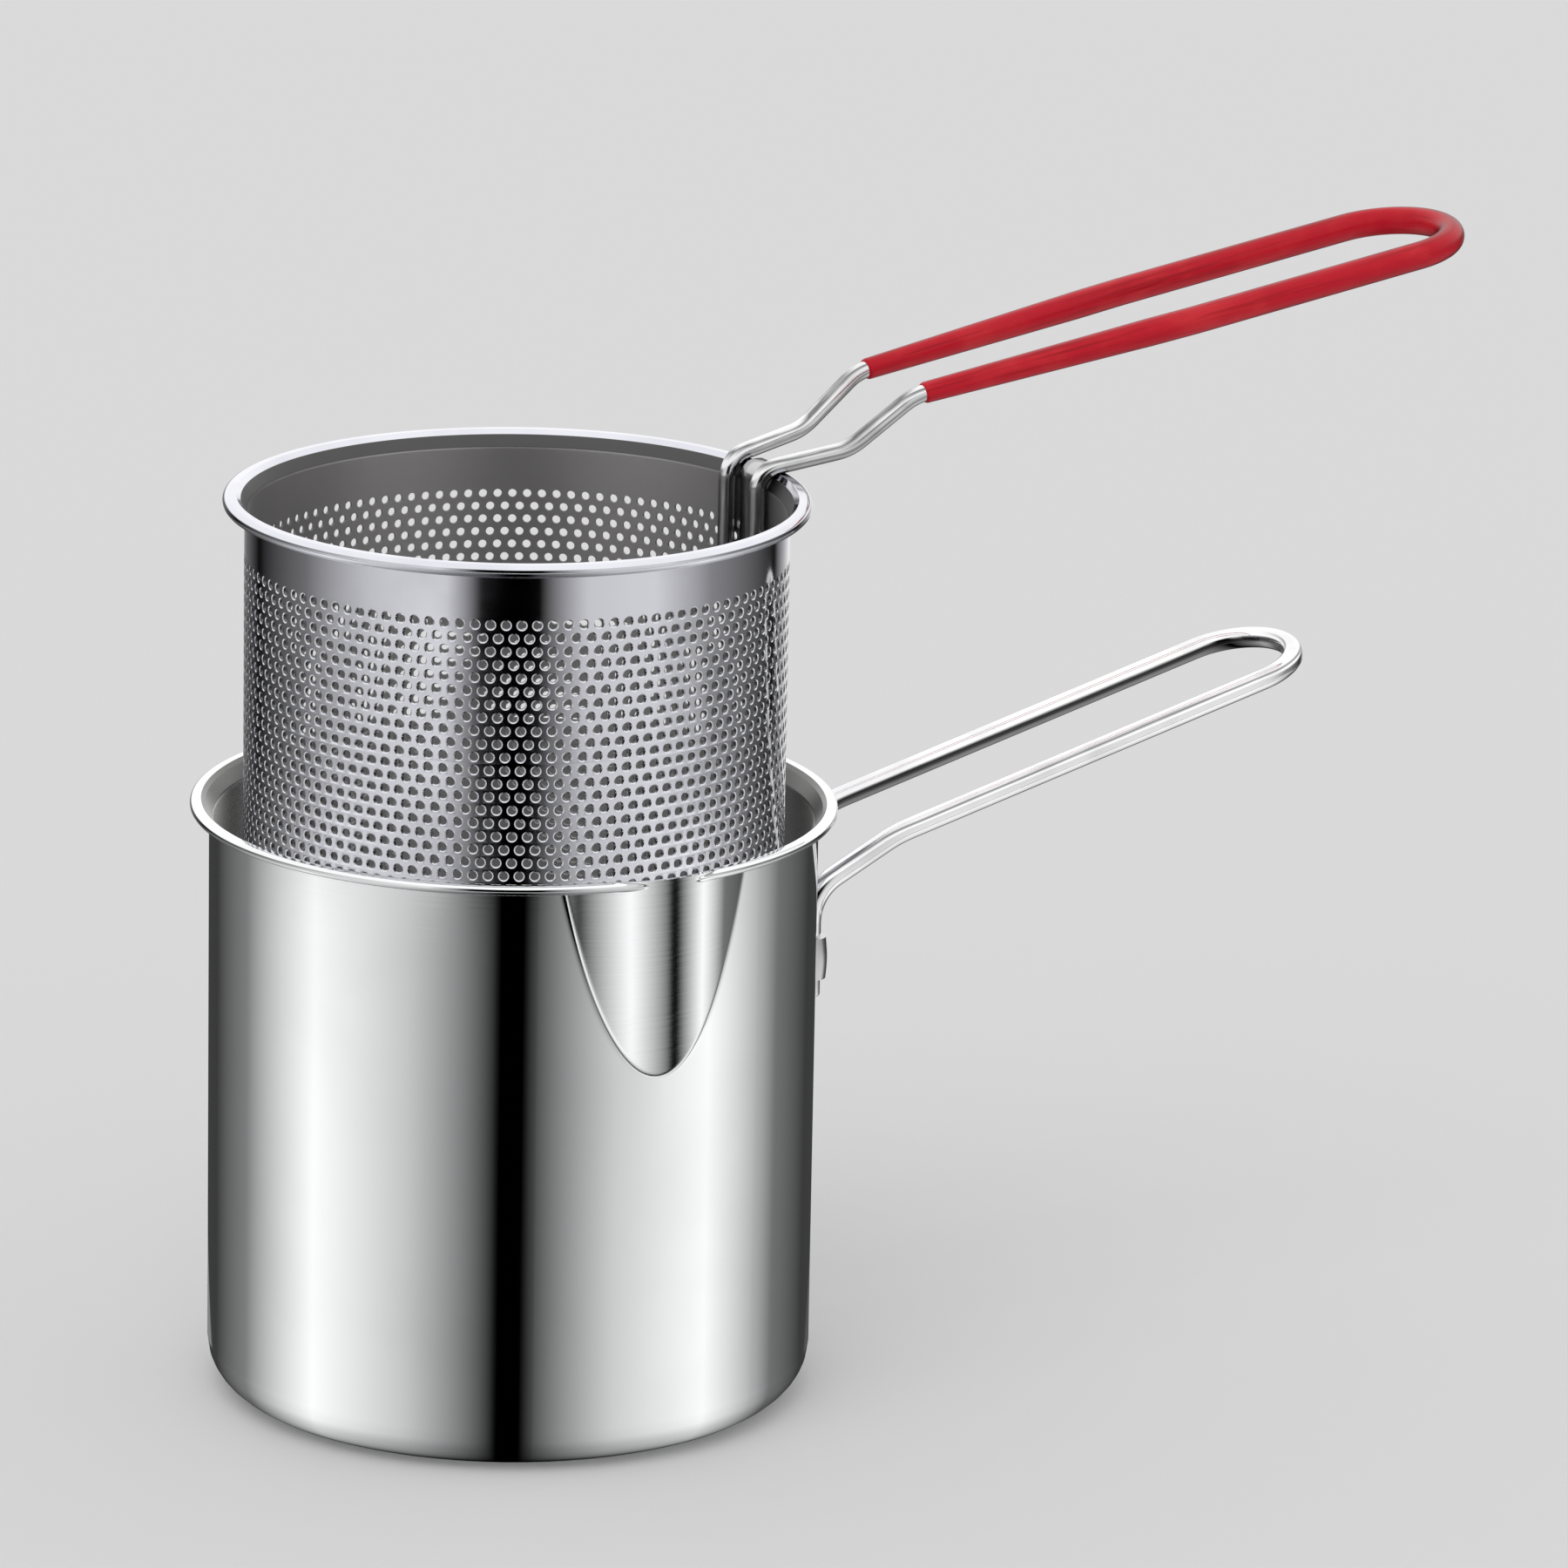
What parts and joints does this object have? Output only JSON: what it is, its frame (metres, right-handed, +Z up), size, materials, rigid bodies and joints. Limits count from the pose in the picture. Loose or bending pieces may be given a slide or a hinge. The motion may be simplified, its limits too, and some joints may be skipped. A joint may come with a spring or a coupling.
{
  "type": "deep fry pot with basket",
  "caption": "Tall round steel pot with a pouring spout and wire loop handle, and a perforated steel frying basket with a dipped grip lifted out above it.",
  "frame": {"origin": "centre of the pot's underside", "axes": "+Z up along the pot's axis, +X along both handles, the pouring spout on -Y"},
  "size_m": [0.327, 0.1493, 0.2548],
  "materials": {
    "pot_steel": "mirror-polished stainless steel",
    "basket_steel": "polished perforated stainless steel",
    "wire_steel": "bright drawn stainless wire",
    "grip_red": "smooth dipped plastic coating"
  },
  "bodies": {
    "pot": {"pot_body": "pot_steel", "pot_handle": "wire_steel", "pot_bracket": "wire_steel"},
    "basket": {"basket_wall": "basket_steel", "basket_base": "basket_steel", "basket_handle": "wire_steel", "basket_grip": "grip_red", "basket_saddle": "basket_steel"}
  },
  "joints": [
    {"name": "basket_lift", "type": "slide", "parent": "pot", "child": "basket", "axis": [0, 0, 1], "range_m": [-0.0723, 0.06]}
  ]
}
